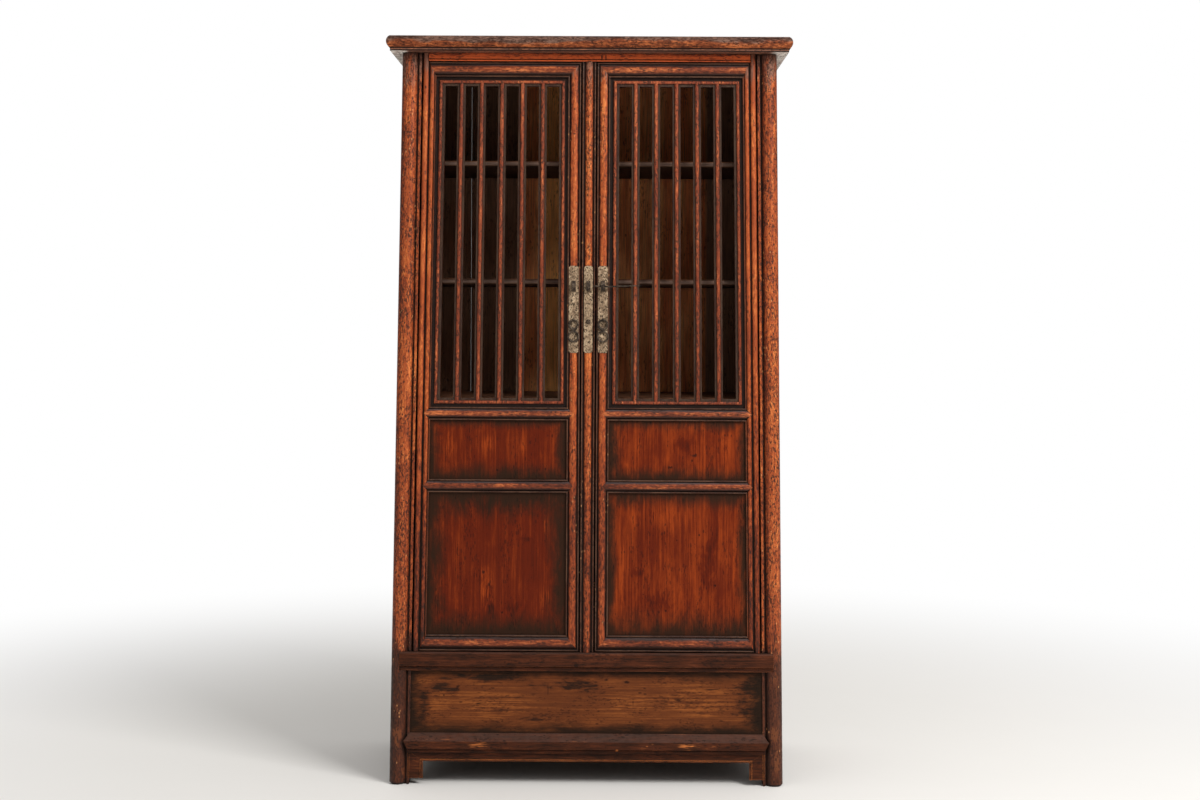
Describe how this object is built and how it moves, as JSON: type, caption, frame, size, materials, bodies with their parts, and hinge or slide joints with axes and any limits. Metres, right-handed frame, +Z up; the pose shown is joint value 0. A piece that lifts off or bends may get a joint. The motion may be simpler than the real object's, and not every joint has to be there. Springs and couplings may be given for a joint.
{
  "type": "book cabinet",
  "caption": "Tall wooden cabinet with leaning round posts, barred and panelled pivot doors, shelves, a closed chest below and an iron lock.",
  "frame": {"origin": "on the floor in the middle of the four feet", "axes": "+Z up, the doors face -Y, +X to the right of someone facing the doors"},
  "size_m": [1.012, 0.5232, 1.87],
  "materials": {
    "worn_lacquer": "worn red-brown lacquer, orange at the edges",
    "red_panel": "deep red lacquer with dark edges",
    "bright_rail": "bright red-orange lacquer",
    "chest_panel": "orange-brown wood with dark edges",
    "dark_rail": "dark red-brown wood, worn at the edges",
    "top_wood": "orange-brown wood with a dark worn upper edge",
    "side_wood": "red-brown lacquered wood",
    "inside_wood": "plain brown wood",
    "iron": "pitted grey-brown iron"
  },
  "bodies": {
    "carcass": {"front_left_post": "worn_lacquer", "front_right_post": "worn_lacquer", "back_left_post": "worn_lacquer", "back_right_post": "worn_lacquer", "top_frame_front": "top_wood", "top_frame_back": "top_wood", "top_frame_ends": "top_wood", "top_panel": "top_wood", "top_battens": "inside_wood", "head_rail": "bright_rail", "side_and_back_head_rails": "side_wood", "sill_rail": "dark_rail", "side_sill_rails": "side_wood", "foot_rail": "dark_rail", "side_foot_rails": "side_wood", "back_rails": "side_wood", "chest_front_panel": "chest_panel", "chest_wall_panels": "side_wood", "left_side_panel": "side_wood", "right_side_panel": "side_wood", "back_boards": "inside_wood", "floor_board": "inside_wood", "chest_bottom_board": "inside_wood", "top_shelf": "inside_wood", "middle_shelf": "inside_wood", "bottom_shelf": "inside_wood", "shelf_bearers": "inside_wood", "front_apron": "dark_rail", "side_and_back_aprons": "side_wood", "centre_post": "worn_lacquer", "centre_lock_plate": "iron", "centre_staple": "iron", "centre_nail": "iron"},
    "left_door": {"left_door_hinge_stile": "worn_lacquer", "left_door_meeting_stile": "worn_lacquer", "left_door_top_rail": "worn_lacquer", "left_door_bottom_rail": "worn_lacquer", "left_door_mid_rails": "worn_lacquer", "left_door_small_panel": "red_panel", "left_door_large_panel": "red_panel", "left_door_lattice": "worn_lacquer", "left_door_lock_plate": "iron", "left_door_staple": "iron", "left_door_pull_eye": "iron"},
    "right_door": {"right_door_hinge_stile": "worn_lacquer", "right_door_meeting_stile": "worn_lacquer", "right_door_top_rail": "worn_lacquer", "right_door_bottom_rail": "worn_lacquer", "right_door_mid_rails": "worn_lacquer", "right_door_small_panel": "red_panel", "right_door_large_panel": "red_panel", "right_door_lattice": "worn_lacquer", "right_door_lock_plate": "iron", "right_door_staple": "iron", "right_door_pull_eye": "iron"},
    "left_pull": {"left_door_pull": "iron"},
    "right_pull": {"right_door_pull": "iron"},
    "lock_pin": {"lock_pin": "iron"}
  },
  "joints": [
    {"name": "left_door_turn", "type": "hinge", "parent": "carcass", "child": "left_door", "pos_m": [-0.42783, -0.2259, 0.33111], "axis": [-0.0126, -0.0079, -0.9999], "range_deg": [0, 110]},
    {"name": "right_door_turn", "type": "hinge", "parent": "carcass", "child": "right_door", "pos_m": [0.42783, -0.2259, 0.33111], "axis": [-0.0126, 0.0079, 0.9999], "range_deg": [0, 110]},
    {"name": "left_pull_swing", "type": "hinge", "parent": "left_door", "child": "left_pull", "pos_m": [-0.03675, -0.23066, 1.16326], "axis": [-1, 0, 0], "range_deg": [0, 85]},
    {"name": "right_pull_swing", "type": "hinge", "parent": "right_door", "child": "right_pull", "pos_m": [0.03675, -0.23066, 1.16326], "axis": [-1, 0, 0], "range_deg": [0, 85]},
    {"name": "lock_pin_slide", "type": "slide", "parent": "right_door", "child": "lock_pin", "axis": [1, 0, 0], "range_m": [0, 0.025]}
  ]
}
